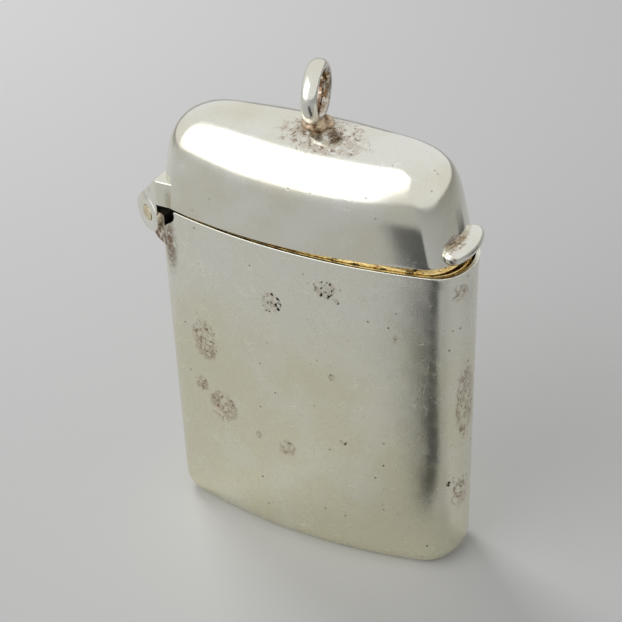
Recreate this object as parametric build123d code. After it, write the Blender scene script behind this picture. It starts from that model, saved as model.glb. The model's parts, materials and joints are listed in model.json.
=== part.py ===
from build123d import *
import math
import os

# A small silver case for wax matches, standing on its base.
# +Z up, -X the hinge end, +X the thumb piece end, -Y the front. Sizes in mm.
# The pieces are made about the middle of the body. At the end all of them move along X together, so that
# the origin lies under the middle of the whole part, on the plane of its base.

# Body, measured at its mouth
body_half_width = 16.5
body_half_depth = 5.6
body_height = 34.5
body_taper = 0.8             # the half width shrinks by this towards the base
mouth_flare = 0.15
mouth_flare_height = 1.4
body_wall = 0.45

# Plan of the case: wide faces, round ends and the corners between them
wide_face_radius = 59.0
end_radius = 5.55
corner_radius = 3.0

# Rolled edge of the base
roll_width = 2.3
roll_depth = 1.4
roll_height = 1.9
base_lip_thickness = 0.4
base_lip_width = 1.1         # ledge that carries the striker plate
roll_steps = 6

# Striker plate and its cross ribs
striker_plate_thickness = 0.5
striker_plate_clearance = 0.1
striker_rib_pitch = 0.9
striker_rib_height = 0.28
striker_rib_margin = 0.8

# Lid
lid_width_step = 0.6         # the lid is this much narrower than the mouth at each end
lid_depth_step = 0.2         # and this much deeper at each face
lid_height = 10.6
lid_wall = 0.45
lid_end_lean = 0.17          # inward lean of the ends, per mm of height
lid_end_power = 8.0
lid_end_root = 3.5
lid_face_straight = 3.0      # height at which the wide faces start to curve over
lid_face_power = 2.5
lid_seam_gap = 0.03
lid_steps = 17
lid_last_angle = 82.0        # the low cap starts here on the quarter turn
lid_ajar_angle = 1.45        # the lid stands this far open at rest

# Gilt mouth flange
flange_thickness = 0.35
flange_depth = 3.0
flange_lip_height = 1.7
flange_lip_clearance = 0.2
flange_lip_lean = 0.15
flange_hinge_cut = 4.4       # the flange stops this far short of the hinge end
solder_film = 0.02           # gap between soldered faces

# Hinge: the outer knuckles belong to the body, the middle one to the lid
hinge_out = 0.9              # pin axis outside the mouth's end
hinge_drop = 1.95            # pin axis below the seam
knuckle_radius = 1.9
knuckle_end = 2.65           # end of the outer knuckles, measured on the pin axis
knuckle_end_angle = 31.0     # the ends are filed to follow the round end of the case
lid_knuckle_half = 1.05
knuckle_gap = 0.1
pin_radius = 0.75
pin_clearance = 0.03
pin_head_proud = 0.06
bearer_rise = 2.8            # the lid bearer's foot on the lid's end, above the seam
bearer_hang = 1.15           # its heel in the notch, below the seam
bearer_edge = 1.0            # rounding of its upper edges
heel_gap = 0.1
saddle_drop = 4.5            # the body bearer's foot below the seam
saddle_end = 2.0             # its ends, measured on the pin axis
saddle_inside = 2.5          # its inner face, from the pin axis

# Half round notch for the hinge in the end of the body
notch_radius = 4.2
notch_reach = 11.5

# Lid kicker and the leaf spring that it presses
kicker_half_width = 0.8
kicker_thickness = 0.4
kicker_rise = 4.0
kicker_drop = 3.2
kicker_gap = 0.2
spring_thickness = 0.28
spring_half_width = 1.4
spring_clearance = 0.1
spring_top = 2.4             # below the seam
spring_straight = 6.5
spring_joggle = 3.5
spring_foot = 5.0
spring_block_height = 4.4
rivet_radius = 0.5
rivet_fit = 0.02
rivet_head_radius = 0.8
rivet_head_height = 0.25
rivet_spacing = 2.2

# Thumb piece
thumb_half_height = 1.05
thumb_projection = 1.05
thumb_lift = 0.05
thumb_half_length = 2.8

# Hanging ring
ring_bore_radius = 1.95
ring_band = 1.15
ring_width = 1.55
ring_edge = 0.45
ring_offset = 0.95
ring_twist = 13.0
ring_lean = 3.0
ring_sink = 0.05
seat_radius = 2.0
seat_top_radius = 1.0
seat_height = 0.75
seat_sink = 0.6

overcut = 1.0                # cutters run past what they cut by this

# Places worked out from the sizes above
seam = body_height
hinge_x = -(body_half_width + hinge_out)
hinge_z = seam - hinge_drop
hinge_axis = Axis((hinge_x, 0, hinge_z), (0, -1, 0))
lid_half_width = body_half_width - lid_width_step
lid_half_depth = body_half_depth + lid_depth_step
reach = 4 * body_half_width
hinge_reach = knuckle_end + knuckle_radius


def circle_crossing(centre_a, radius_a, centre_b, radius_b):
    """The lower right crossing of two circles, used for the centre of a corner arc."""
    gap = centre_b - centre_a
    along = (gap.length ** 2 + radius_a ** 2 - radius_b ** 2) / (2 * gap.length)
    side = math.sqrt(max(radius_a ** 2 - along ** 2, 0))
    unit = gap.normalized()
    foot = centre_a + unit * along
    normal = Vector(-unit.Y, unit.X, 0)
    first = foot + normal * side
    second = foot - normal * side
    return first if first.X > second.X else second


def plan(half_width, half_depth, height):
    """The closed plan outline of the case at a height: two wide arcs, two end arcs, four corners."""
    wide_scale = (half_width / body_half_width) ** 2 * body_half_depth / half_depth
    wide = wide_face_radius * wide_scale
    end = end_radius * half_depth / body_half_depth
    corner = corner_radius * half_depth / body_half_depth
    wide_centre = Vector(0, wide - half_depth, 0)
    end_centre = Vector(half_width - end, 0, 0)
    centre = circle_crossing(wide_centre, wide - corner, end_centre, end - corner)
    on_wide = wide_centre + (centre - wide_centre).normalized() * wide
    on_end = end_centre + (centre - end_centre).normalized() * end
    middle = ((on_wide + on_end) * 0.5 - centre).normalized() * corner + centre

    def at(point, sign_x, sign_y):
        return (sign_x * point.X, sign_y * point.Y, height)

    edges = []
    for turn in (1, -1):
        edges += [
            ThreePointArc(at(on_wide, -turn, turn), (0, -turn * half_depth, height), at(on_wide, turn, turn)),
            ThreePointArc(at(on_wide, turn, turn), at(middle, turn, turn), at(on_end, turn, turn)),
            ThreePointArc(at(on_end, turn, turn), (turn * half_width, 0, height), at(on_end, turn, -turn)),
            ThreePointArc(at(on_end, turn, -turn), at(middle, turn, -turn), at(on_wide, turn, -turn)),
        ]
    return Wire(edges)


def form(levels):
    """A solid through plan outlines given as (half width, half depth, height)."""
    return Solid.make_loft([plan(*level) for level in levels], True)


def box(x_low, x_high, y_low, y_high, z_low, z_high):
    size = (x_high - x_low, y_high - y_low, z_high - z_low)
    return Pos(x_low, y_low, z_low) * Box(*size, align=(Align.MIN, Align.MIN, Align.MIN))


def bar(radius, y_low, y_high):
    """A round bar on the pin axis."""
    turn = Pos(hinge_x, y_high, hinge_z) * Rot(90, 0, 0)
    return turn * Cylinder(radius, y_high - y_low, align=(Align.CENTER, Align.CENTER, Align.MIN))


def hinge_slab(points):
    """A prism as long as the hinge, from points given around the pin axis as (x, z)."""
    outline = Polyline(*[(hinge_x + x, -hinge_reach, hinge_z + z) for x, z in points], close=True)
    return Solid.extrude(Face(Wire(outline.edges())), Vector(0, 2 * hinge_reach, 0))


def body_half_width_at(height):
    """Half width of the tapered wall, with the small flare at the mouth."""
    flare = max(0, 1 - (seam - height) / mouth_flare_height) * mouth_flare
    return body_half_width - body_taper * (1 - height / body_height) + flare


def body_half_depth_at(height):
    return body_half_depth + max(0, 1 - (seam - height) / mouth_flare_height) * mouth_flare


def body_levels(inset):
    """Levels of the body's form, drawn in from the outside by an inset."""
    levels = []
    for step in range(roll_steps):
        angle = math.radians(90 * step / roll_steps)
        height = roll_height * (1 - math.cos(angle))
        draw = 1 - math.sin(angle)
        wide = body_half_width_at(height) - roll_width * draw
        levels.append((wide, body_half_depth - roll_depth * draw, height))
    for height in (roll_height, seam - mouth_flare_height, seam):
        levels.append((body_half_width_at(height), body_half_depth_at(height), height))
    return [(wide - inset, deep - inset, height) for wide, deep, height in levels]


def lid_levels(inset):
    """Levels of the domed lid, drawn in from the outside by an inset."""
    height = lid_height - inset
    levels = []
    for step in range(lid_steps):
        part = math.sin(math.radians(lid_last_angle * step / (lid_steps - 1)))
        rise = height * part
        end = (1 - part ** lid_end_power) ** (1 / lid_end_root)
        wide = (lid_half_width - inset - lid_end_lean * rise) * end
        over = max(0, rise - lid_face_straight) / (height - lid_face_straight)
        deep = (lid_half_depth - inset) * math.sqrt(1 - over ** lid_face_power)
        levels.append((wide, deep, seam + lid_seam_gap + rise))
    return levels


def lid_form(inset, drop=0):
    """The domed lid as a solid: its levels and a low cap, started a drop below its rim."""
    levels = lid_levels(inset)
    wide, deep, low = levels[0]
    wires = [plan(wide, deep, low - drop)] if drop else []
    wires += [plan(*level) for level in levels[1 if drop else 0:]]
    top = Vertex(0, 0, seam + lid_seam_gap + lid_height - inset)
    return Solid.make_loft([*wires, top], True)


def base_opening():
    wide, deep, _ = body_levels(0)[0]
    return wide - base_lip_width, deep - base_lip_width


def base_floor():
    """Inside of the shell at the top of the base lip."""
    wide, deep, _ = body_levels(body_wall)[1]
    return wide, deep


def hinge_notch():
    turn = Pos(-reach, 0, seam) * Rot(0, 90, 0)
    return turn * Cylinder(notch_radius, reach - notch_reach, align=(Align.CENTER, Align.CENTER, Align.MIN))


def make_body_shell():
    """Drawn silver body: rolled base edge, open mouth, half round notch for the hinge."""
    floor = base_lip_thickness
    inner = [level for level in body_levels(body_wall) if level[2] > floor]
    mouth_wide, mouth_deep, _ = inner[-1]
    cavity = form([(*base_floor(), floor), *inner, (mouth_wide, mouth_deep, seam + overcut)])
    opening = form([(*base_opening(), -overcut), (*base_opening(), floor + body_wall)])
    return form(body_levels(0)) - cavity - opening - hinge_notch()


def make_striker_plate():
    """Base plate on the rolled lip, with ribs across it to strike a match on."""
    wide, deep = base_floor()
    wide = wide - striker_plate_clearance
    deep = deep - striker_plate_clearance
    low = base_lip_thickness
    top = low + striker_plate_thickness
    plate = form([(wide, deep, low), (wide, deep, top)])
    open_wide, open_deep = base_opening()
    count = int(2 * (open_wide - striker_rib_margin) / striker_rib_pitch)
    half_length = open_deep - striker_rib_margin
    start = -count * striker_rib_pitch / 2
    points = [(start, (low + top) / 2), (start, low)]
    for rib in range(count):
        foot = start + rib * striker_rib_pitch
        points += [(foot + striker_rib_pitch / 2, low - striker_rib_height), (foot + striker_rib_pitch, low)]
    points.append((-start, (low + top) / 2))
    outline = Polyline(*[(x, -half_length, z) for x, z in points], close=True)
    ribs = Solid.extrude(Face(Wire(outline.edges())), Vector(0, 2 * half_length, 0))
    rib_wide = open_wide - striker_rib_margin
    return plate + (ribs & form([(rib_wide, half_length, low - overcut), (rib_wide, half_length, top)]))


def make_mouth_flange():
    """Gilt band inside the mouth, drawn in at the ends to the lip that the lid slides over."""
    outset = body_wall + solder_film
    thick = flange_thickness
    low = seam - flange_depth
    shelf = seam - thick
    top = seam + flange_lip_height
    skirt_wide = body_half_width_at(low) - outset
    skirt_deep = body_half_depth - outset
    skirt = form([(skirt_wide, skirt_deep, low), (skirt_wide, skirt_deep, seam - solder_film)])
    skirt_bore = (skirt_wide - thick, skirt_deep - thick)
    skirt -= form([(*skirt_bore, low - overcut), (*skirt_bore, shelf)])
    lip_wide = lid_half_width - lid_wall - flange_lip_clearance
    lip_top = lip_wide - flange_lip_lean * flange_lip_height
    lip_deep = skirt_deep - solder_film
    lip = form([(lip_wide, lip_deep, shelf), (lip_top, lip_deep, top)])
    bore_low = (lip_wide - thick, lip_deep - thick)
    bore_top = (lip_top - thick, lip_deep - thick)
    bore_levels = [(*bore_low, low - overcut), (*bore_low, shelf), (*bore_top, top), (*bore_top, top + overcut)]
    bore = form(bore_levels)
    band = skirt + lip - bore
    cut = -body_half_width + flange_hinge_cut
    return band - box(-reach, cut, -reach, reach, low - overcut, top + overcut)


def end_planes(solid, end):
    """Files the ends of a hinge piece to follow the round end of the case."""
    size = 8 * knuckle_radius
    for side in (1, -1):
        cutter = Pos(hinge_x, side * end, hinge_z) * Rot(0, 0, side * knuckle_end_angle)
        solid = solid - cutter * Pos(0, side * size / 2, 0) * Box(size, size, size)
    return solid


def make_knuckle(low, high):
    outer = bar(knuckle_radius, low, high)
    bore = bar(pin_radius + pin_clearance, low - overcut, high + overcut)
    return end_planes(outer - bore, knuckle_end)


def make_hinge_pin():
    """Brass pin through all the knuckles, its ends riveted just proud of them."""
    return end_planes(bar(pin_radius, -hinge_reach, hinge_reach), knuckle_end + pin_head_proud)


def tangent_point(foot_x, foot_z):
    """Where a line from a foot touches the far side of the knuckle, around the pin axis."""
    turn = math.copysign(math.acos(knuckle_radius / math.hypot(foot_x, foot_z)), foot_z)
    angle = math.atan2(foot_z, foot_x) + turn
    return knuckle_radius * math.cos(angle), knuckle_radius * math.sin(angle)


def make_lid_bearer(lid_outside):
    """Wedge soldered to the lid's end: it holds the middle knuckle and clears the outer two."""
    foot_z = hinge_drop + bearer_rise
    foot_x = hinge_out + lid_width_step + lid_end_lean * bearer_rise
    touch = tangent_point(foot_x, foot_z)
    rim_x = hinge_out + lid_width_step + lid_wall
    rim_z = hinge_drop + lid_seam_gap
    heel_z = hinge_drop - bearer_hang
    deep = foot_x + lid_wall
    inside = [(deep, foot_z), (deep, rim_z), (rim_x, rim_z), (rim_x, heel_z)]
    wedge = end_planes(hinge_slab([touch, (foot_x, foot_z), *inside, (0, heel_z)]), knuckle_end)
    middle = hinge_z + (foot_z + touch[1]) / 2 - bearer_edge
    upper = wedge.edges().filter_by(lambda edge: edge.center().Z > middle and edge.center().X < hinge_x + foot_x)
    slanted = upper.filter_by(lambda edge: abs(edge.tangent_at(0.5).Z) > 0.2)
    wedge = fillet(slanted, bearer_edge)
    wedge = wedge - lid_outside - bar(knuckle_radius, -reach, reach)
    room = knuckle_radius + knuckle_gap
    inner = lid_knuckle_half
    return wedge - bar(room, -reach, -inner) - bar(room, inner, reach)


def make_body_bearer(shell):
    """Block in the notch, soldered to the wall: it holds the outer knuckles and clears the middle one."""
    foot_z = hinge_drop - saddle_drop
    foot_x = hinge_out + body_taper * saddle_drop / body_height
    touch = tangent_point(foot_x, foot_z)
    top = hinge_drop - bearer_hang - heel_gap
    points = [touch, (foot_x, foot_z), (saddle_inside, foot_z), (saddle_inside, top), (0, top)]
    block = end_planes(hinge_slab(points), saddle_end)
    block = block - shell - bar(knuckle_radius, -reach, reach)
    inner = lid_knuckle_half + knuckle_gap
    return block - bar(knuckle_radius + knuckle_gap, -inner, inner)


def kicker_near():
    """X of the kicker's outer face from the pin axis."""
    return saddle_inside + kicker_gap


def make_lid_kicker(lid_room):
    """Strip inside the lid's end that reaches past the seam and presses the spring."""
    near = hinge_x + kicker_near()
    strip = box(near, near + kicker_thickness, -kicker_half_width, kicker_half_width,
                seam - kicker_drop, seam + kicker_rise)
    return strip & lid_room


def spring_face():
    """X of the spring's free face, just clear of the kicker's swing."""
    swing = math.hypot(kicker_near() + kicker_thickness, kicker_drop - hinge_drop)
    return hinge_x + swing + spring_clearance


def spring_foot_low():
    """Lower end of the spring."""
    return seam - spring_top - spring_straight - spring_joggle - spring_foot


def spring_foot_face():
    """X of the spring's outer face where its edges meet the block on the wall."""
    inner_end = end_radius * (body_half_depth - body_wall) / body_half_depth
    sagitta = inner_end - math.sqrt(inner_end ** 2 - spring_half_width ** 2)
    return -(body_half_width_at(spring_foot_low()) - body_wall - sagitta) + spring_thickness


def make_lid_spring():
    """Steel leaf inside the hinge end, free at its top and held at its foot."""
    top = seam - spring_top
    bend = top - spring_straight
    foot_top = bend - spring_joggle
    foot_low = spring_foot_low()
    face = spring_face()
    foot = spring_foot_face()
    t = spring_thickness
    points = [(face, top), (face, bend), (foot, foot_top), (foot, foot_low), (foot + t, foot_low),
              (foot + t, foot_top + t / 4), (face + t, bend + t / 4), (face + t, top)]
    outline = Polyline(*[(x, -spring_half_width, z) for x, z in points], close=True)
    leaf = Solid.extrude(Face(Wire(outline.edges())), Vector(0, 2 * spring_half_width, 0))
    for height in rivet_heights():
        leaf = leaf - rivet_bar(rivet_radius + rivet_fit, foot - overcut, foot + overcut, height)
    return leaf


def rivet_heights():
    middle = spring_foot_low() + spring_foot / 2
    return middle - rivet_spacing / 2, middle + rivet_spacing / 2


def rivet_bar(radius, x_low, x_high, height):
    turn = Pos(x_low, 0, height) * Rot(0, 90, 0)
    return turn * Cylinder(radius, x_high - x_low, align=(Align.CENTER, Align.CENTER, Align.MIN))


def make_spring_block():
    """Pad soldered to the inside of the wall, with a flat face for the spring's foot."""
    middle = sum(rivet_heights()) / 2
    low = middle - spring_block_height / 2
    high = middle + spring_block_height / 2
    outset = body_wall + solder_film
    room = form([(body_half_width_at(low) - outset, body_half_depth - outset, low),
                 (body_half_width_at(high) - outset, body_half_depth - outset, high)])
    face = spring_foot_face()
    block = room & box(-reach, face, -spring_half_width, spring_half_width, low, high)
    for height in rivet_heights():
        block = block - rivet_bar(rivet_radius + rivet_fit, -reach, 0, height)
    return block


def make_spring_rivets():
    face = spring_foot_face()
    rivets = []
    for height in rivet_heights():
        wall = -(body_half_width_at(height) - body_wall - solder_film)
        shank = rivet_bar(rivet_radius, wall + solder_film, face + spring_thickness, height)
        head_low = face + spring_thickness
        head = rivet_bar(rivet_head_radius, head_low, head_low + rivet_head_height, height)
        head = chamfer(head.edges().group_by(Axis.X)[-1], rivet_head_height / 2)
        rivets.append(shank + head)
    return Compound(rivets)


def make_thumb_piece(lid_outside):
    """Half round bar along the lid's free end, following its curve."""
    end = end_radius * lid_half_depth / body_half_depth
    centre_x = lid_half_width - end
    middle = seam + lid_seam_gap + thumb_lift + thumb_half_height
    back = 2 * lid_end_lean * thumb_half_height + lid_wall
    section = Pos(lid_half_width, middle) * Ellipse(thumb_projection, thumb_half_height)
    section += Pos(lid_half_width - back / 2, middle) * Rectangle(back, 2 * thumb_half_height)
    section -= Pos(lid_half_width - back - reach / 2, middle) * Rectangle(reach, reach)
    angle = math.degrees(math.asin(thumb_half_length / (end + thumb_projection / 2)))
    axis = Axis((centre_x, 0, 0), (0, 0, 1))
    bent = revolve((Plane.XZ * section).rotate(axis, -angle), axis, 2 * angle)
    return bent - lid_outside


def ring_place():
    centre_z = seam + lid_seam_gap + lid_height - ring_sink + ring_bore_radius + ring_band
    return Pos(ring_offset, 0, centre_z) * Rot(0, ring_lean, 0) * Rot(0, 0, 90 + ring_twist) * Rot(90, 0, 0)


def make_hanging_ring(lid_outside):
    """Heavy ring with rounded edges, standing on edge on top of the lid."""
    centre = ring_bore_radius + ring_band / 2
    section = Plane.XZ * Pos(centre, 0) * Rectangle(ring_band, ring_width)
    outer = section.vertices().group_by(Axis.X)[-1]
    section = fillet(outer, ring_edge)
    section = fillet(section.vertices().group_by(Axis.X)[0], ring_edge / 2)
    return ring_place() * revolve(section, Axis.Z) - lid_outside


def make_ring_seat(lid_outside, ring):
    """Fillet of hard solder round the ring's foot."""
    base = seam + lid_height - seat_sink
    cone = Pos(ring_offset, 0, base) * Cone(
        seat_radius, seat_top_radius, seat_sink + seat_height, align=(Align.CENTER, Align.CENTER, Align.MIN))
    hole = ring_place() * Cylinder(ring_bore_radius + ring_band / 2, reach)
    return cone - lid_outside - ring - hole


def open_ajar(solid):
    return solid.rotate(hinge_axis, lid_ajar_angle)


def make_all():
    lid_outside = lid_form(0)
    lid_room = lid_form(lid_wall, kicker_drop + lid_seam_gap)
    shell = make_body_shell()
    ring = make_hanging_ring(lid_outside)
    inner = lid_knuckle_half + knuckle_gap
    body = {
        "body_shell": shell,
        "striker_plate": make_striker_plate(),
        "mouth_flange": make_mouth_flange(),
        "body_hinge_bearer": make_body_bearer(shell),
        "body_knuckle_front": make_knuckle(-hinge_reach, -inner),
        "body_knuckle_rear": make_knuckle(inner, hinge_reach),
        "hinge_pin": make_hinge_pin(),
        "lid_spring": make_lid_spring(),
        "spring_block": make_spring_block(),
        "spring_rivets": make_spring_rivets(),
    }
    lid = {
        "lid_shell": lid_outside - lid_room,
        "lid_hinge_bearer": make_lid_bearer(lid_outside),
        "lid_knuckle": make_knuckle(-lid_knuckle_half, lid_knuckle_half),
        "lid_kicker": make_lid_kicker(lid_room),
        "thumb_piece": make_thumb_piece(lid_outside),
        "hanging_ring": ring,
        "ring_seat": make_ring_seat(lid_outside, ring),
    }
    return body | {name: open_ajar(solid) for name, solid in lid.items()}


def over_origin(shapes):
    """The move along X that brings the middle of the whole part over the origin."""
    boxes = [shape.bounding_box() for shape in shapes]
    low = min(item.min.X for item in boxes)
    high = max(item.max.X for item in boxes)
    return Pos(-(low + high) / 2, 0, 0)


nodes = make_all()
to_origin = over_origin(nodes.values())
os.makedirs("parts", exist_ok=True)
for node, shape in nodes.items():
    export_step(to_origin * shape, f"parts/{node}.step")
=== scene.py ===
import json
import math

import bpy
from mathutils import Euler, Matrix, Vector


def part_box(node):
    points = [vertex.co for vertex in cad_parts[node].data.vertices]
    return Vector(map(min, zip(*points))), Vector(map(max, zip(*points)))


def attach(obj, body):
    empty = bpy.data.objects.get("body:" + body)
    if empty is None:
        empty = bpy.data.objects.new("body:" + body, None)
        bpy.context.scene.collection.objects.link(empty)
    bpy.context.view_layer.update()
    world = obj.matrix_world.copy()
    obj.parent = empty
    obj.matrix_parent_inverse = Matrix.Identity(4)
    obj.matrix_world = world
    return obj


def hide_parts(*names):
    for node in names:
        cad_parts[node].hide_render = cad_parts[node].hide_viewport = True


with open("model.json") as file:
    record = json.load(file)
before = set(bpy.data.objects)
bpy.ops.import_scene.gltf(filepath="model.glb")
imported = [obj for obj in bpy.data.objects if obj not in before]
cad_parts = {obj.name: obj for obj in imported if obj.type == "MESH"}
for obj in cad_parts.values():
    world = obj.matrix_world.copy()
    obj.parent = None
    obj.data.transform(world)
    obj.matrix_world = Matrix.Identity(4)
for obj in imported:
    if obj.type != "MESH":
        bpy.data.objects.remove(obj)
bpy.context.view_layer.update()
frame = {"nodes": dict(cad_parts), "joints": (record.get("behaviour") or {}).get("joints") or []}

# A small silver case for wax matches. Z up, -X the hinge end, +X the thumb piece end, -Y the front.
# Pieces are modelled in millimetres about the middle of the body. When a piece is finished, its mesh
# goes to metres and to its place in the frame.
mm = 0.001
plate_low, plate_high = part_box("striker_plate")
body_middle = Vector(((plate_low.x + plate_high.x) / 2 / mm, 0, 0))
to_frame = Matrix.Scale(mm, 4) @ Matrix.Translation(body_middle)


def corners(node):
    """The box of a node in millimetres about the middle of the body."""
    low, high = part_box(node)
    return low / mm - body_middle, high / mm - body_middle


# Places read from the frame
hinge = Vector(frame["joints"][0]["pos_m"]) / mm - body_middle
ajar = -math.radians(min(frame["joints"][0]["range_deg"]))   # the lid stands this far open at rest
shell_high = corners("body_shell")[1]
flange_low, flange_high = corners("mouth_flange")
knuckle_low, knuckle_high = corners("body_knuckle_front")
lid_knuckle_low, lid_knuckle_high = corners("lid_knuckle")
seam = shell_high.z

# Body
mouth_flare = 0.15
mouth_flare_height = 1.4
half_width = shell_high.x - mouth_flare
half_depth = shell_high.y - mouth_flare
taper = 0.8
wall = 0.45
roll_width = 2.3
roll_depth = 1.4
roll_height = 1.9
base_lip = 1.1
flare_steps = 4
wall_steps = 12
roll_steps = 16
notch_radius = 4.2
notch_reach = 11.5
edge_round = 0.08

# Plan of the case: wide faces, round ends, and the corners between them
wide_face_radius = 59
end_radius = 5.55
corner_radius = 3.0

# Lid, as it is when shut
lid_half_width = half_width - 0.6
lid_half_depth = half_depth + 0.2
lid_height = 10.6
lid_base = seam + 0.03
lid_end_lean = 0.17
lid_end_power = 8.0
lid_end_root = 3.5
lid_face_straight = 3.0
lid_face_power = 2.5
lid_steps = 44
lid_last_turn = math.radians(88.5)

# Gilt flange
flange_thickness = 0.35
flange_step = 0.71           # the lip stands this far inside the skirt at the ends
flange_lean = 0.255
shelf_drop = 0.02            # its shelf lies this far below the seam
shelf_edge = 0.1
shelf_fall = 0.15
lip_foot = 0.12
lip_inset = 0.02

# Hinge
knuckle_radius = (knuckle_high.z - knuckle_low.z) / 2
knuckle_end = 2.65
knuckle_end_angle = math.radians(31)
knuckle_gap = 0.1
bore_radius = 0.78
pin_radius = 0.75
pin_proud = 0.06
bearer_rise = 2.8
bearer_hang = 1.15
bearer_reach = 4.2
knuckle_round = 0.09
pin_round = 0.05
wedge_round = 0.35

# Thumb piece
thumb_half_height = 0.92
thumb_projection = 1.1
thumb_half_length = 3.3
thumb_steps = 36
thumb_end_steps = 7          # of these, each end is rounded over so many
thumb_end_draw = 0.9         # how much of its section is drawn in at the very end
thumb_points = 40
thumb_back = 0.6
thumb_lift = 0.05
thumb_middle = lid_base + thumb_lift + thumb_half_height

# Hanging ring
ring_bore = 1.95
ring_band = 1.15
ring_width = 1.55
ring_offset = 0.95
ring_twist = math.radians(13)
ring_lean = math.radians(3)
ring_sunk = 0.05
ring_middle = lid_base + lid_height - ring_sunk + ring_bore + ring_band
ring_section_power = 2.0
ring_points = 40
ring_steps = 120

# Solder round the ring's foot
seat_size = (1.7, 1.45, 0.85)
seat_sunk = 0.12
lump_size = 0.9
lump_height = 0.35
lump_level = 0.6


def alone(piece):
    """Selects one piece and nothing else, in object mode."""
    if bpy.context.object and bpy.context.object.mode != "OBJECT":
        bpy.ops.object.mode_set(mode="OBJECT")
    bpy.ops.object.select_all(action="DESELECT")
    piece.select_set(True)
    bpy.context.view_layer.objects.active = piece


def added(name):
    """Names the primitive that was just added and puts its place into its mesh."""
    piece = bpy.context.object
    piece.name = name
    piece.data.name = name
    alone(piece)
    bpy.ops.object.transform_apply(location=True, rotation=True, scale=True)
    return piece


def edit(piece, kind="VERT", test=None):
    """Enters edit mode on one piece with all of it selected, or what a test picks."""
    alone(piece)
    mesh = piece.data
    parts = {"VERT": mesh.vertices, "EDGE": mesh.edges, "FACE": mesh.polygons}
    for group in parts.values():
        for part in group:
            part.select = False
    if test:
        for part in parts[kind]:
            part.select = test(part)
    bpy.context.tool_settings.mesh_select_mode = [kind == name for name in parts]
    bpy.ops.object.mode_set(mode="EDIT")
    if not test:
        bpy.ops.mesh.select_all(action="SELECT")


def tidy(piece):
    """Merges doubles and turns all faces outwards."""
    edit(piece)
    bpy.ops.mesh.remove_doubles(threshold=0.002)
    bpy.ops.mesh.normals_make_consistent(inside=False)
    bpy.ops.object.mode_set(mode="OBJECT")


def modified(piece, kind, **settings):
    """Adds a modifier and applies it."""
    alone(piece)
    modifier = piece.modifiers.new(kind.title(), kind)
    for name, value in settings.items():
        setattr(modifier, name, value)
    bpy.ops.object.modifier_apply(modifier=modifier.name)


def rounded(piece, width, segments=3, angle=50):
    limit = math.radians(angle)
    modified(piece, "BEVEL", width=width, segments=segments, limit_method="ANGLE", angle_limit=limit)


def levelled(piece, height, side):
    """Presses flat what stands past a level, above it for side 1 and below it for side -1."""
    edit(piece, "VERT", lambda vertex: (vertex.co.z - height) * side > -0.001)
    bpy.ops.transform.resize(value=(1, 1, 0), center_override=(0, 0, height))
    bpy.ops.object.mode_set(mode="OBJECT")


def cut(piece, cutter):
    modified(piece, "BOOLEAN", operation="DIFFERENCE", solver="EXACT", object=cutter)
    bpy.data.objects.remove(cutter)


def smooth(piece, angle=35):
    alone(piece)
    bpy.ops.object.shade_smooth_by_angle(angle=math.radians(angle))


def open_ajar(piece):
    """Turns a lid piece from shut to where the lid stands at rest."""
    turn = Matrix.Translation(hinge) @ Matrix.Rotation(-ajar, 4, "Y") @ Matrix.Translation(-hinge)
    piece.data.transform(turn)


def placed(piece, body, nodes, material, angle=35):
    """Brings a finished piece to its place, smooth and in its material, and puts it on its body."""
    piece.data.transform(to_frame)
    smooth(piece, angle)
    piece.data.materials.clear()
    piece.data.materials.append(material)
    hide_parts(*nodes)
    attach(piece, body)
    return piece


# Plan of the case
def outline(wide, deep, wide_steps=18, corner_steps=10, end_steps=8):
    """Points round the plan at a half width and half depth, with three arcs to each quarter."""
    share = deep / half_depth
    face = wide_face_radius * (wide / half_width) ** 2 / share
    end = end_radius * share
    corner = corner_radius * share
    face_centre = Vector((0, deep - face))
    end_centre = Vector((wide - end, 0))
    gap = face_centre - end_centre
    from_end = end - corner
    from_face = face - corner
    along = (gap.length_squared + from_end ** 2 - from_face ** 2) / (2 * gap.length)
    side = math.sqrt(from_end ** 2 - along ** 2)
    unit = gap.normalized()
    crossings = [end_centre + unit * along + Vector((-unit.y, unit.x)) * side * sign for sign in (1, -1)]
    corner_centre = max(crossings, key=lambda point: point.x)
    end_turn = math.atan2(corner_centre.y - end_centre.y, corner_centre.x - end_centre.x)
    face_turn = math.atan2(corner_centre.y - face_centre.y, corner_centre.x - face_centre.x)
    arcs = [
        (end_centre, end, 0, end_turn, end_steps),
        (corner_centre, corner, end_turn, face_turn, corner_steps),
        (face_centre, face, face_turn, math.pi / 2, wide_steps),
    ]
    quarter = []
    for centre, radius, start, stop, steps in arcs:
        for step in range(steps):
            turn = start + (stop - start) * step / steps
            quarter.append(centre + Vector((math.cos(turn), math.sin(turn))) * radius)
    top = Vector((0, deep))
    half = quarter + [top] + [Vector((-point.x, point.y)) for point in reversed(quarter)]
    return half + [Vector((point.x, -point.y)) for point in reversed(half[1:-1])]


def plan_ring(name, wide, deep, height):
    """A primitive circle drawn out to the plan."""
    points = outline(wide, deep)
    bpy.ops.mesh.primitive_circle_add(vertices=len(points), radius=wide)
    piece = added(name)
    for vertex, point in zip(piece.data.vertices, points):
        vertex.co = (point.x, point.y, height)
    return piece


def drawn(name, levels):
    """A skin drawn from a ring of the plan through levels of (half width, half depth, height)."""
    piece = plan_ring(name, *levels[0])
    edit(piece)
    for (wide, deep, height), (next_wide, next_deep, next_height) in zip(levels, levels[1:]):
        bpy.ops.mesh.extrude_region_move(TRANSFORM_OT_translate={"value": (0, 0, next_height - height)})
        bpy.ops.transform.resize(value=(next_wide / wide, next_deep / deep, 1), center_override=(0, 0, 0))
    return piece


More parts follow.
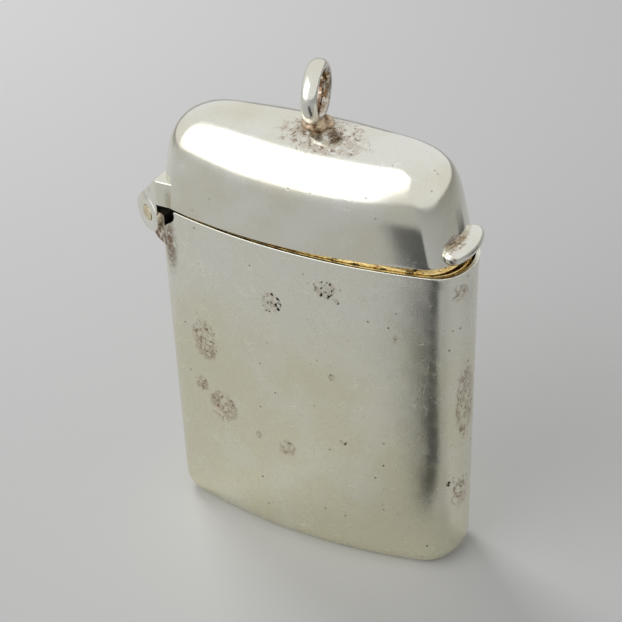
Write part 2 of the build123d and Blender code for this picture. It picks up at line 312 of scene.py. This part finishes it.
def cylinder(name, radius, low, high, sides=96):
    """A round bar between two points."""
    line = high - low
    turn = line.to_track_quat("Z", "Y").to_euler()
    bpy.ops.mesh.primitive_cylinder_add(
        vertices=sides, radius=radius, depth=line.length, location=(low + high) / 2, rotation=turn)
    return added(name)


def on_pin(name, radius, y_low, y_high):
    """A round bar on the hinge's axis."""
    return cylinder(name, radius, Vector((hinge.x, y_low, hinge.z)), Vector((hinge.x, y_high, hinge.z)))


# Body
def body_levels():
    levels = []
    for step in range(flare_steps + 1):
        share = 1 - step / flare_steps
        height = seam - mouth_flare_height * (1 - share)
        narrow = taper * (1 - height / seam)
        levels.append((half_width - narrow + mouth_flare * share, half_depth + mouth_flare * share, height))
    wall_top = levels[-1][2]
    for step in range(1, wall_steps + 1):
        height = wall_top + (roll_height - wall_top) * step / wall_steps
        levels.append((half_width - taper * (1 - height / seam), half_depth, height))
    for step in range(1, roll_steps + 1):
        turn = math.radians(90 * (1 - step / roll_steps))
        height = roll_height * (1 - math.cos(turn))
        draw = 1 - math.sin(turn)
        wide = half_width - taper * (1 - height / seam) - roll_width * draw
        levels.append((wide, half_depth - roll_depth * draw, height))
    foot_wide, foot_deep, _ = levels[-1]
    levels.append((foot_wide - base_lip, foot_deep - base_lip, 0))
    return levels


def body_shell(material):
    piece = drawn("body_skin", body_levels())
    tidy(piece)
    modified(piece, "SOLIDIFY", thickness=wall, offset=-1, use_even_offset=True)
    levelled(piece, seam, 1)
    rounded(piece, edge_round)
    far = Vector((-2 * half_width, 0, seam))
    cut(piece, cylinder("notch", notch_radius, far, Vector((-notch_reach, 0, seam))))
    return placed(piece, "case", ["body_shell"], material)


def mouth_flange(material):
    """Gilt skirt inside the mouth and the lip that the lid closes over."""
    wide = flange_high.x
    deep = flange_high.y
    low = flange_low.z
    shelf = seam - shelf_drop
    lip_wide = wide - flange_step
    levels = [
        (wide, deep, low),
        (wide, deep, shelf - shelf_fall),
        (wide - shelf_edge, deep, shelf),
        (lip_wide + shelf_edge, deep, shelf),
        (lip_wide, deep - lip_inset, shelf + lip_foot),
        (lip_wide - flange_lean, deep - lip_inset, flange_high.z),
    ]
    piece = drawn("gilt_band", levels)
    tidy(piece)
    modified(piece, "SOLIDIFY", thickness=flange_thickness, offset=-1, use_even_offset=True)
    edit(piece)
    bpy.ops.mesh.bisect(plane_co=(flange_low.x, 0, 0), plane_no=(-1, 0, 0), use_fill=True, clear_outer=True)
    bpy.ops.object.mode_set(mode="OBJECT")
    rounded(piece, edge_round)
    return placed(piece, "case", ["mouth_flange"], material)


# Lid
def lid_levels(inset):
    height = lid_height - inset
    levels = []
    for step in range(lid_steps):
        part = math.sin(lid_last_turn * step / (lid_steps - 1))
        rise = height * part
        wide = (lid_half_width - inset - lid_end_lean * rise) * (1 - part ** lid_end_power) ** (1 / lid_end_root)
        over = max(0, rise - lid_face_straight) / (height - lid_face_straight)
        deep = (lid_half_depth - inset) * math.sqrt(1 - over ** lid_face_power)
        levels.append((wide, deep, lid_base + rise))
    return levels


def lid_skin(name, inset):
    """The dome as an open skin, closed at its top."""
    piece = drawn(name, lid_levels(inset))
    bpy.ops.mesh.extrude_region_move(
        TRANSFORM_OT_translate={"value": (0, 0, lid_base + lid_height - inset - lid_levels(inset)[-1][2])})
    bpy.ops.mesh.merge(type="CENTER")
    tidy(piece)
    return piece


def lid_inside():
    """A solid of the lid's form, drawn in by half its wall, that trims what is soldered on it."""
    piece = lid_skin("lid_inside", wall / 2)
    edit(piece)
    bpy.ops.mesh.select_all(action="DESELECT")
    bpy.ops.mesh.select_non_manifold()
    bpy.ops.mesh.edge_face_add()
    tidy(piece)
    return piece


def lid_shell(material):
    piece = lid_skin("lid_dome", 0)
    modified(piece, "SOLIDIFY", thickness=wall, offset=-1, use_even_offset=True)
    levelled(piece, lid_base, -1)
    rounded(piece, edge_round)
    open_ajar(piece)
    return placed(piece, "lid", ["lid_shell"], material)


# Hinge
def filed(piece, proud=0):
    """Cuts a hinge piece's ends to follow the round end of the case."""
    for side in (-1, 1):
        normal = (-math.sin(knuckle_end_angle), side * math.cos(knuckle_end_angle), 0)
        edit(piece)
        bpy.ops.mesh.bisect(
            plane_co=(hinge.x, side * (knuckle_end + proud), 0), plane_no=normal, use_fill=True, clear_outer=True)
    bpy.ops.object.mode_set(mode="OBJECT")


def knuckle(name, node, low, high, body, material):
    piece = on_pin(name, knuckle_radius, low, high)
    filed(piece)
    cut(piece, on_pin("bore", bore_radius, low - 1, high + 1))
    rounded(piece, knuckle_round)
    if body == "lid":
        open_ajar(piece)
    return placed(piece, body, [node], material)


def hinge_pin(material):
    piece = on_pin("pin", pin_radius, -1.5 * knuckle_end, 1.5 * knuckle_end)
    filed(piece, pin_proud)
    rounded(piece, pin_round)
    return placed(piece, "case", ["hinge_pin"], material)


def tangent_point(foot_x, foot_z):
    """Where a line from a foot touches the far side of the knuckle, around the pin axis."""
    turn = math.acos(knuckle_radius / math.hypot(foot_x, foot_z))
    angle = math.atan2(foot_z, foot_x) + turn
    return knuckle_radius * math.cos(angle), knuckle_radius * math.sin(angle)


def lid_bearer(material):
    """Wedge on the lid's end that carries its knuckle: an outline extruded, filed and trimmed."""
    out = -half_width - hinge.x
    drop = seam - hinge.z
    foot_z = drop + bearer_rise
    foot_x = out + half_width - lid_half_width + lid_end_lean * bearer_rise
    heel_z = drop - bearer_hang
    rim_z = lid_base - hinge.z
    rim_x = out + half_width - lid_half_width + wall
    points = [tangent_point(foot_x, foot_z), (foot_x, foot_z), (bearer_reach, foot_z), (bearer_reach, rim_z),
              (rim_x, rim_z), (rim_x, heel_z), (0, heel_z)]
    bpy.ops.mesh.primitive_circle_add(vertices=len(points), radius=1, fill_type="NGON")
    piece = added("hinge_wedge")
    long = 1.5 * knuckle_end
    for vertex, (x, z) in zip(piece.data.vertices, points):
        vertex.co = (hinge.x + x, -long, hinge.z + z)
    edit(piece)
    bpy.ops.mesh.extrude_region_move(TRANSFORM_OT_translate={"value": (0, 2 * long, 0)})
    tidy(piece)
    filed(piece)
    rounded(piece, wedge_round, 5, 25)
    cut(piece, lid_inside())
    inner = lid_knuckle_high.y
    for side in (-1, 1):
        ends = sorted((side * inner, side * 2 * knuckle_end))
        cut(piece, on_pin("room", knuckle_radius + knuckle_gap, *ends))
    open_ajar(piece)
    return placed(piece, "lid", ["lid_hinge_bearer"], material)


# Thumb piece
def turn_of(point):
    return math.atan2(point.y, point.x)


def thumb_piece(material):
    """Half round bar spun along the lid's free end, then drawn in at its ends."""
    end = end_radius * lid_half_depth / half_depth
    centre = Vector((lid_half_width - end, 0, thumb_middle))
    angle = math.asin(thumb_half_length / (end + thumb_projection / 2))
    bpy.ops.mesh.primitive_circle_add(vertices=thumb_points, radius=1)
    piece = added("thumb_bar")
    for vertex in piece.data.vertices:
        turn = 2 * math.pi * vertex.index / thumb_points
        out = math.cos(turn) * (thumb_projection if math.cos(turn) > 0 else thumb_back)
        flat = Vector((end + out, 0, math.sin(turn) * thumb_half_height))
        vertex.co = centre + Matrix.Rotation(angle, 3, "Z") @ flat
    edit(piece)
    bpy.ops.mesh.spin(steps=thumb_steps, angle=2 * angle, center=centre, axis=(0, 0, 1))
    for side in (-1, 1):
        for step in range(thumb_end_steps):
            turn = side * angle * (1 - 2 * step / thumb_steps)
            share = math.sqrt(1 - thumb_end_draw * (1 - step / thumb_end_steps) ** 2)
            middle = centre + Matrix.Rotation(turn, 3, "Z") @ Vector((end, 0, 0))
            edit(piece, "VERT", lambda vertex: abs(turn_of(vertex.co - centre) - turn) < 0.01)
            bpy.ops.transform.resize(value=(share, share, share), center_override=middle)
    bpy.ops.mesh.select_all(action="DESELECT")
    bpy.ops.mesh.select_non_manifold()
    bpy.ops.mesh.fill_holes(sides=0)
    tidy(piece)
    cut(piece, lid_inside())
    open_ajar(piece)
    return placed(piece, "lid", ["thumb_piece"], material)


# Hanging ring
def hanging_ring(material):
    """Ring spun from a heavy oval section, and set on the lid a little askew."""
    bpy.ops.mesh.primitive_circle_add(vertices=ring_points, radius=1)
    piece = added("top_ring")
    power = 2 / ring_section_power
    middle = ring_bore + ring_band / 2
    for vertex in piece.data.vertices:
        turn = 2 * math.pi * vertex.index / ring_points
        across = math.copysign(abs(math.cos(turn)) ** power, math.cos(turn)) * ring_band / 2
        along = math.copysign(abs(math.sin(turn)) ** power, math.sin(turn)) * ring_width / 2
        vertex.co = (middle + across, 0, along)
    edit(piece)
    bpy.ops.mesh.spin(steps=ring_steps, angle=2 * math.pi, center=(0, 0, 0), axis=(0, 0, 1))
    tidy(piece)
    lean = Matrix.Rotation(ring_lean, 4, "Y")
    twist = Matrix.Rotation(math.pi / 2 + ring_twist, 4, "Z")
    upright = Matrix.Rotation(math.pi / 2, 4, "X")
    piece.data.transform(Matrix.Translation((ring_offset, 0, ring_middle)) @ lean @ twist @ upright)
    open_ajar(piece)
    return placed(piece, "lid", ["hanging_ring"], material)


def ring_seat(material):
    """Lump of solder round the ring's foot, uneven as it froze."""
    bpy.ops.mesh.primitive_uv_sphere_add(segments=64, ring_count=32, radius=1)
    piece = added("solder_seat")
    edit(piece)
    bpy.ops.transform.resize(value=seat_size, center_override=(0, 0, 0))
    bpy.ops.transform.translate(value=(ring_offset, 0, lid_base + lid_height - seat_sunk))
    bpy.ops.object.mode_set(mode="OBJECT")
    lumps = bpy.data.textures.new("solder_lumps", "CLOUDS")
    lumps.noise_scale = lump_size
    modified(
        piece, "DISPLACE", texture=lumps, strength=lump_height, mid_level=lump_level, texture_coords="LOCAL")
    open_ajar(piece)
    return placed(piece, "lid", ["ring_seat"], material, 60)


# Finishes
class Finish:
    """A material under construction, with patterns measured in millimetres on the object."""

    def __init__(self, name):
        self.made = bpy.data.materials.new(name)
        self.made.use_nodes = True
        self.tree = self.made.node_tree
        self.tree.nodes.clear()
        self.shader = self.add("ShaderNodeBsdfPrincipled")
        output = self.add("ShaderNodeOutputMaterial")
        self.tree.links.new(self.shader.outputs[0], output.inputs["Surface"])
        coordinate = self.add("ShaderNodeTexCoord")
        self.place = self.mapped(coordinate.outputs["Object"], (1 / mm,) * 3)
        self.place.node.inputs["Location"].default_value = -body_middle

    def add(self, kind, **settings):
        made = self.tree.nodes.new(kind)
        for name, value in settings.items():
            setattr(made, name, value)
        return made

    def feed(self, socket, value):
        if isinstance(value, bpy.types.NodeSocket):
            self.tree.links.new(value, socket)
        else:
            socket.default_value = value

    def mapped(self, vector, scale=(1, 1, 1), turn=(0, 0, 0)):
        made = self.add("ShaderNodeMapping")
        self.feed(made.inputs["Vector"], vector)
        made.inputs["Scale"].default_value = scale
        made.inputs["Rotation"].default_value = turn
        return made.outputs[0]

    def noise(self, scale, detail=3.0, stretch=(1, 1, 1), turn=(0, 0, 0), distortion=0.0):
        made = self.add("ShaderNodeTexNoise")
        self.feed(made.inputs["Vector"], self.mapped(self.mapped(self.place, turn=turn), stretch))
        made.inputs["Scale"].default_value = scale
        made.inputs["Detail"].default_value = detail
        made.inputs["Distortion"].default_value = distortion
        return made.outputs["Fac"]

    def cells(self, scale):
        made = self.add("ShaderNodeTexVoronoi")
        self.feed(made.inputs["Vector"], self.place)
        made.inputs["Scale"].default_value = scale
        return made.outputs["Distance"]

    def math(self, operation, first, second=0.0):
        made = self.add("ShaderNodeMath", operation=operation)
        self.feed(made.inputs[0], first)
        self.feed(made.inputs[1], second)
        return made.outputs[0]

    def step(self, value, low, high, start=0.0, stop=1.0):
        """A smooth step: start below low, stop above high."""
        made = self.add("ShaderNodeMapRange", interpolation_type="SMOOTHSTEP")
        self.feed(made.inputs["Value"], value)
        made.inputs["From Min"].default_value = low
        made.inputs["From Max"].default_value = high
        made.inputs["To Min"].default_value = start
        made.inputs["To Max"].default_value = stop
        return made.outputs[0]

    def mix(self, share, first, second):
        made = self.add("ShaderNodeMix", data_type="RGBA")
        self.feed(made.inputs["Factor"], share)
        self.feed(made.inputs["A"], first)
        self.feed(made.inputs["B"], second)
        return made.outputs["Result"]

    def near(self, centre, size, edge=0.3):
        """1 at a place and 0 past its size, both in mm, and falling from that share of the size on."""
        offset = self.add("ShaderNodeVectorMath", operation="SUBTRACT")
        self.feed(offset.inputs[0], self.place)
        offset.inputs[1].default_value = centre
        scaled = self.add("ShaderNodeVectorMath", operation="DIVIDE")
        self.feed(scaled.inputs[0], offset.outputs[0])
        scaled.inputs[1].default_value = size
        length = self.add("ShaderNodeVectorMath", operation="LENGTH")
        self.feed(length.inputs[0], scaled.outputs[0])
        return self.step(length.outputs["Value"], edge, 1.0, 1.0, 0.0)

    def any_of(self, masks):
        total = masks[0]
        for mask in masks[1:]:
            total = self.math("MAXIMUM", total, mask)
        return total

    def bump(self, height, strength, distance, before=None):
        made = self.add("ShaderNodeBump")
        made.inputs["Strength"].default_value = strength
        made.inputs["Distance"].default_value = distance * mm
        self.feed(made.inputs["Height"], height)
        if before:
            self.feed(made.inputs["Normal"], before)
        return made.outputs[0]

    def scratches(self, turn, scale, width, share):
        """Fine straight marks that lie one way: thin levels of a long drawn noise, broken up by another."""
        lines = self.noise(scale, 1.0, (0.07, 4, 4), turn)
        apart = self.math("ABSOLUTE", self.math("SUBTRACT", lines, 0.5))
        thin = self.step(apart, 0.0, width, 1.0, 0.0)
        kept = self.step(self.noise(0.5, 2.0, turn=turn), 0.62 - share, 0.68 - share)
        return self.math("MULTIPLY", thin, kept)

    def done(self, colour, roughness, normal, metallic=1.0):
        self.feed(self.shader.inputs["Base Color"], colour)
        self.feed(self.shader.inputs["Roughness"], roughness)
        self.feed(self.shader.inputs["Normal"], normal)
        self.shader.inputs["Metallic"].default_value = metallic
        return self.made


bright_silver = (0.86, 0.86, 0.78, 1)
warm_silver = (0.80, 0.78, 0.61, 1)
polished_bright = (0.86, 0.86, 0.79, 1)
polished_warm = (0.78, 0.76, 0.63, 1)
dull_bright = (0.88, 0.84, 0.76, 1)
dull_warm = (0.70, 0.61, 0.48, 1)
# The brown and the black below are tarnish and grime, and also painted shade by the hinge.
brown_tarnish_and_shade = (0.22, 0.125, 0.06, 1)
pale_tarnish = (0.52, 0.41, 0.30, 1)
black_grime_and_shade = (0.012, 0.010, 0.008, 1)
gold = (0.95, 0.72, 0.32, 1)
worn_gold = (0.70, 0.45, 0.16, 1)
gilt_dirt = (0.10, 0.055, 0.02, 1)
fresh_scratch = (1, 1, 0.97, 1)

# Each way that scratches lie, as an angle in degrees and a scale
scratch_ways = ((18, 0.9), (-52, 0.8), (80, 0.7), (-12, 1.1), (47, 0.8))


def silver(name, tones, roughness, wear, stains=(), pits=(), grime_and_shade=(), warm_at=None, black=0.7):
    """Worn silver in two tones. Stains, pits and grime are lists of a centre, a size and at times an edge.

    Between the two heights of warm_at it turns to its warmer tone downwards. Black is how much of the dirt and
    painted shade goes past brown; the grime lists hold painted shade by the hinge too.
    """
    finish = Finish(name)
    warm = finish.step(finish.noise(0.16, 4.0), 0.35, 0.7)
    if warm_at:
        parts = finish.add("ShaderNodeSeparateXYZ")
        finish.feed(parts.inputs[0], finish.place)
        low = finish.step(parts.outputs["Z"], *warm_at, 1.0, 0.15)
        warm = finish.math("MULTIPLY", finish.math("ADD", warm, 0.6), low)
    colour = finish.mix(warm, *tones)
    dust = finish.step(finish.noise(5.0, 8.0), 0.5, 0.8, 0.0, 0.3 * wear)
    colour = finish.mix(dust, colour, pale_tarnish)
    mottle = finish.noise(1.6, 6.0, distortion=0.6)
    if stains:
        zone = finish.any_of([finish.near(*stain) for stain in stains])
        cloud = finish.noise(0.9, 5.0, distortion=0.8)
        zone = finish.step(finish.math("ADD", zone, cloud), 0.9, 1.35)
        patch = finish.math("MULTIPLY", zone, finish.step(mottle, 0.34, 0.66))
        colour = finish.mix(finish.math("MULTIPLY", patch, 0.6), colour, pale_tarnish)
        level = finish.math("ABSOLUTE", finish.math("SUBTRACT", mottle, 0.5))
        rim = finish.step(level, 0.004, 0.03, 1.0, 0.0)
        rim = finish.math("MULTIPLY", rim, finish.step(finish.noise(0.9, 3.0), 0.42, 0.56))
        core = finish.math("MAXIMUM", rim, finish.step(finish.noise(2.6, 5.0), 0.56, 0.68))
        core = finish.math("MULTIPLY", zone, core)
        colour = finish.mix(finish.math("MULTIPLY", core, 0.85), colour, brown_tarnish_and_shade)
    specks = finish.step(finish.cells(0.75), 0.06, 0.12, 1.0, 0.0)
    specks = finish.math("MULTIPLY", specks, finish.step(finish.noise(0.35, 2.0), 0.48, 0.6))
    holes = finish.math("MULTIPLY", specks, 0.65 * wear)
    if pits:
        zone = finish.any_of([finish.near(*pit) for pit in pits])
        zone = finish.step(finish.math("ADD", zone, finish.noise(0.8, 4.0)), 0.85, 1.35)
        pocks = finish.step(finish.noise(2.6, 6.0), 0.54, 0.62)
        pitted = finish.math("MULTIPLY", finish.step(zone, 0.05, 0.4), pocks)
        dulled = finish.math("MULTIPLY", zone, finish.step(finish.noise(1.8, 4.0), 0.35, 0.6))
        colour = finish.mix(finish.math("MULTIPLY", dulled, 0.5), colour, pale_tarnish)
        holes = finish.math("MAXIMUM", holes, pitted)
    colour = finish.mix(holes, colour, black_grime_and_shade)
    # Grime, and painted shade where a list lies in shadow: brown, then black in part.
    if grime_and_shade:
        zone = finish.any_of([finish.near(*place) for place in grime_and_shade])
        dirt_and_shade = finish.math("MULTIPLY", zone, finish.step(finish.noise(1.9, 6.0), 0.3, 0.55))
        colour = finish.mix(dirt_and_shade, colour, brown_tarnish_and_shade)
        deep = finish.math("MULTIPLY", dirt_and_shade, finish.step(finish.noise(2.7, 4.0), 0.5, 0.62, 0.0, black))
        colour = finish.mix(deep, colour, black_grime_and_shade)
    marks = finish.any_of([
        finish.scratches((0, math.radians(turn), 0), scale, 0.008, -0.01)
        for turn, scale in scratch_ways
    ])
    colour = finish.mix(finish.math("MULTIPLY", marks, 0.5), colour, fresh_scratch)
    grain = finish.noise(9.0, 6.0)
    rough = finish.step(finish.noise(0.5, 5.0), 0.3, 0.75, roughness * 0.85, roughness * 1.2)
    rough = finish.math("ADD", rough, finish.math("MULTIPLY", marks, 0.15))
    rough = finish.math("ADD", rough, finish.math("MULTIPLY", holes, 0.4))
    normal = finish.bump(finish.noise(0.12, 2.0), 0.25 * wear, 0.5)
    normal = finish.bump(grain, 0.3 * wear, 0.03, normal)
    sunk = finish.math("ADD", marks, finish.math("MULTIPLY", holes, 3.0))
    normal = finish.bump(sunk, 0.6 * wear, -0.015, normal)
    return finish.done(colour, rough, normal)


def gilt():
    """Gilding with clouds of brown and black dirt."""
    finish = Finish("rubbed_gilt")
    clouds = finish.noise(0.9, 6.0)
    colour = finish.mix(finish.step(clouds, 0.4, 0.7), gold, worn_gold)
    dirt = finish.step(finish.noise(1.7, 8.0, (0.6, 1, 1.4), distortion=0.8), 0.52, 0.64)
    colour = finish.mix(finish.math("MULTIPLY", dirt, 0.85), colour, gilt_dirt)
    black = finish.step(finish.noise(3.1, 6.0), 0.57, 0.66)
    colour = finish.mix(black, colour, black_grime_and_shade)
    rough = finish.math("ADD", finish.math("MULTIPLY", dirt, 0.3), 0.22)
    normal = finish.bump(finish.noise(4.0, 6.0), 0.5, 0.04)
    return finish.done(colour, rough, normal)


def plain_metal(name, colour, dark, roughness):
    """A small piece of metal with clouds of tarnish, fine scratches and grain."""
    finish = Finish(name)
    clouds = finish.step(finish.noise(1.2, 5.0), 0.4, 0.7)
    shade = finish.mix(clouds, colour, dark)
    marks = finish.scratches((0, math.radians(35), 0), 1.5, 0.01, 0.1)
    rough = finish.math("ADD", finish.math("MULTIPLY", clouds, 0.15), roughness)
    normal = finish.bump(finish.noise(7.0, 5.0), 0.2, 0.03)
    normal = finish.bump(marks, 0.3, -0.01, normal)
    return finish.done(shade, rough, normal)


def floor_finish():
    finish = Finish("pale_floor")
    tone = finish.mix(finish.noise(0.02, 3.0), (0.78, 0.78, 0.78, 1), (0.80, 0.80, 0.80, 1))
    normal = finish.bump(finish.noise(2.0, 4.0), 0.1, 0.05)
    return finish.done(tone, 0.9, normal, 0.0)


# Where the marks lie, in mm, as a centre, a size and at times an edge
body_stains = [
    ((-10.4, -4.6, 20.8), (2.6, 3.0, 3.9)),
    ((-11.2, -4.5, 15.2), (1.4, 2.5, 1.5)),
    ((-8.6, -4.9, 13.4), (2.8, 3.0, 2.9)),
    ((-8.4, -4.9, 12.6), (0.8, 2.5, 0.8)),
    ((-0.9, -5.6, 11.3), (1.7, 2.5, 1.5)),
    ((-4.2, -5.4, 11.7), (0.7, 2.5, 0.8)),
    ((15.8, -0.8, 8.5), (1.6, 2.5, 3.2)),
    ((16.1, -2.0, 32.4), (1.0, 2.0, 1.6)),
    ((16.1, -0.7, 19.5), (0.8, 3.0, 7.0)),
]
body_pits = [
    ((-2.0, -5.6, 28.2), (1.7, 2.0, 2.0)),
    ((3.9, -5.5, 31.3), (1.8, 2.0, 1.6)),
    ((5.0, -5.4, 30.2), (0.5, 2.0, 0.5)),
    ((4.3, -5.4, 21.4), (0.6, 2.0, 0.7)),
    ((5.3, -5.3, 13.9), (0.6, 2.0, 0.6)),
    ((10.7, -4.6, 27.2), (0.5, 2.0, 1.0)),
    ((15.4, -2.3, 10.3), (0.4, 1.5, 0.5)),
]
# Partly painted shade: brown and black on the body's front corner beside the hinge knuckle, where shadow falls in
# the gap, with some grime.
body_shade_and_grime = [((-14.3, -4.2, 30.6), (1.4, 1.8, 4.6), 0.1)]
lid_stains = [
    ((2.2, -1.2, 45.0), (7.5, 4.5, 2.0)),
    ((15.5, -1.5, 37.0), (1.2, 4.0, 2.0)),
]
lid_grime = [
    ((0.95, -0.4, 45.3), (2.3, 2.4, 0.9)),
    ((15.7, -2.4, 37.5), (1.2, 1.6, 0.5)),
    ((-14.7, -4.3, 35.6), (0.7, 0.9, 3.2)),
]
hinge_stains = [((-16.6, 0, 35.6), (2.4, 5.0, 2.2)), ((-17.6, 0, 34.6), (1.4, 5.0, 1.6))]
hinge_grime = [((-13.9, -4.7, 35.2), (0.9, 1.0, 3.2))]
# Painted shade: brown and black over the hinge saddle, which lies in shadow under the knuckles.
saddle_shade = [((-16.0, 0, 31.0), (3.0, 5.0, 3.0), 0.6)]
thumb_stains = [((15.6, -3.2, 36.4), (1.0, 1.0, 1.2)), ((15.7, -1.4, 37.3), (0.8, 3.4, 0.8))]
ring_stains = [((0.6, 0.8, 46.2), (3.0, 3.2, 2.2))]
ring_grime = [((0.2, -0.3, 45.5), (1.6, 1.8, 1.1)), ((0.55, 0, 48.9), (1.6, 2.7, 2.7), 0.8)]


# Studio, with places, sizes and the floor in metres, and the cards' corners in mm
floor_size = 4
world_fill = 0.36            # the world's strength as a light
key_place = Vector((-0.17, 0.11, 0.19))
key_size = 0.10
key_radiance = 7.0
front_place = Vector((-0.27, -0.46, 0.31))
front_size = 0.66
front_radiance = 1.0
# Painted reflections: the dark cards put dark bands into the silver at the right front corner and the right end.
corner_card = [(6, -105), (56, -105), (13, -13), (29, -13)]
end_card = [(48, 38), (82, 30), (56, 92), (96, 84)]
card_height = 0.3
card_black = (0.03, 0.03, 0.03, 1)


def studio():
    """Pale floor, soft world, soft lamps and dark cards."""
    bpy.ops.mesh.primitive_plane_add(size=floor_size)
    floor = added("floor")
    floor.data.materials.append(floor_finish())
    world = bpy.data.worlds.new("studio")
    bpy.context.scene.world = world
    world.use_nodes = True
    tree = world.node_tree
    tree.nodes.clear()
    path = tree.nodes.new("ShaderNodeLightPath")
    seen = tree.nodes.new("ShaderNodeMath")
    seen.operation = "MAXIMUM"
    tree.links.new(path.outputs["Is Camera Ray"], seen.inputs[0])
    tree.links.new(path.outputs["Is Glossy Ray"], seen.inputs[1])
    strength = tree.nodes.new("ShaderNodeMapRange")
    tree.links.new(seen.outputs[0], strength.inputs["Value"])
    strength.inputs["To Min"].default_value = world_fill
    strength.inputs["To Max"].default_value = 1.0
    background = tree.nodes.new("ShaderNodeBackground")
    tree.links.new(strength.outputs[0], background.inputs["Strength"])
    output = tree.nodes.new("ShaderNodeOutputWorld")
    tree.links.new(background.outputs[0], output.inputs["Surface"])
    key = lamp("key", key_place, key_size, key_radiance)
    key.visible_glossy = False
    lamp("front", front_place, front_size, front_radiance)
    dark_card("corner_card", corner_card)
    dark_card("end_card", end_card)


def dark_card(name, corners_at):
    """A black card that lies on the floor and shows only in the silver, as a painted dark reflection."""
    bpy.ops.mesh.primitive_plane_add(size=1)
    card = added(name)
    for vertex, (x, y) in zip(card.data.vertices, corners_at):
        vertex.co = (Vector((x, y, card_height)) + body_middle) * mm
    black = bpy.data.materials.new(name)
    black.use_nodes = True
    black.node_tree.nodes["Principled BSDF"].inputs["Base Color"].default_value = card_black
    card.data.materials.append(black)
    card.visible_camera = False
    card.visible_shadow = False
    card.visible_diffuse = False


def lamp(name, place, size, radiance):
    """A soft square lamp that looks at the case."""
    data = bpy.data.lights.new(name, "AREA")
    data.size = size
    data.energy = radiance * math.pi * size * size
    made = bpy.data.objects.new(name, data)
    bpy.context.scene.collection.objects.link(made)
    made.location = place
    made.rotation_euler = (place - Vector((0, 0, seam / 2 * mm))).to_track_quat("Z", "Y").to_euler()
    return made


# Camera fitted to the photograph's outline
camera_azimuth = math.radians(30.04)
camera_elevation = math.radians(33.65)
camera_roll = math.radians(-2.17)
camera_distance = 207.35
camera_target = Vector((-0.88, 0, 24.25))
camera_lens = 122.9


def camera():
    data = bpy.data.cameras.new("camera")
    data.lens = camera_lens
    data.sensor_width = 36
    data.clip_start = 0.01
    made = bpy.data.objects.new("camera", data)
    bpy.context.scene.collection.objects.link(made)
    back = Vector((
        math.sin(camera_azimuth) * math.cos(camera_elevation),
        -math.cos(camera_azimuth) * math.cos(camera_elevation),
        math.sin(camera_elevation)))
    made.location = (body_middle + camera_target + back * camera_distance) * mm
    turn = Euler((math.pi / 2 - camera_elevation, 0, camera_azimuth)).to_matrix()
    made.rotation_euler = (turn @ Matrix.Rotation(camera_roll, 3, "Z")).to_euler()
    bpy.context.scene.camera = made


def carried_over(material_of):
    """Gives the nodes that stay as they are their materials."""
    for name, material in material_of.items():
        for place in frame["nodes"][name].material_slots:
            place.material = material


bpy.ops.object.select_all(action="DESELECT")
bpy.context.scene.view_settings.view_transform = "Standard"
camera()
studio()
satin = (bright_silver, warm_silver)
polished = (polished_bright, polished_warm)
dull = (dull_bright, dull_warm)
body_silver = silver("satin_silver", satin, 0.26, 1.0, body_stains, body_pits, body_shade_and_grime, (14, 34), 0.3)
lid_silver = silver("polished_silver", polished, 0.13, 0.5, lid_stains, (), lid_grime)
ring_silver = silver("ring_silver", polished, 0.16, 0.7, ring_stains, (), ring_grime, None, 0.3)
hinge_silver = silver("hinge_silver", satin, 0.22, 0.8, hinge_stains, (), hinge_grime)
thumb_silver = silver("thumb_silver", polished, 0.16, 0.7, thumb_stains)
saddle_silver = silver("saddle_silver", dull, 0.35, 1.0, hinge_stains, (), saddle_shade)
dull_silver = plain_metal("dull_silver", (0.72, 0.70, 0.64, 1), (0.42, 0.36, 0.26, 1), 0.4)
steel = plain_metal("spring_steel", (0.36, 0.37, 0.40, 1), (0.16, 0.12, 0.09, 1), 0.32)
pin_metal = plain_metal("pin_brass", (0.80, 0.72, 0.50, 1), (0.66, 0.56, 0.36, 1), 0.28)
solder = plain_metal("ring_solder", (0.62, 0.49, 0.34, 1), (0.13, 0.075, 0.035, 1), 0.34)

body_shell(body_silver)
mouth_flange(gilt())
lid_shell(lid_silver)
knuckle("knuckle_front", "body_knuckle_front", -1.5 * knuckle_end, knuckle_high.y, "case", hinge_silver)
knuckle("knuckle_rear", "body_knuckle_rear", -knuckle_high.y, 1.5 * knuckle_end, "case", hinge_silver)
knuckle("knuckle_middle", "lid_knuckle", lid_knuckle_low.y, lid_knuckle_high.y, "lid", hinge_silver)
hinge_pin(pin_metal)
lid_bearer(hinge_silver)
thumb_piece(thumb_silver)
hanging_ring(ring_silver)
ring_seat(solder)
carried_over({
    "striker_plate": dull_silver,
    "body_hinge_bearer": saddle_silver,
    "spring_block": dull_silver,
    "spring_rivets": dull_silver,
    "lid_kicker": dull_silver,
    "lid_spring": steel,
})
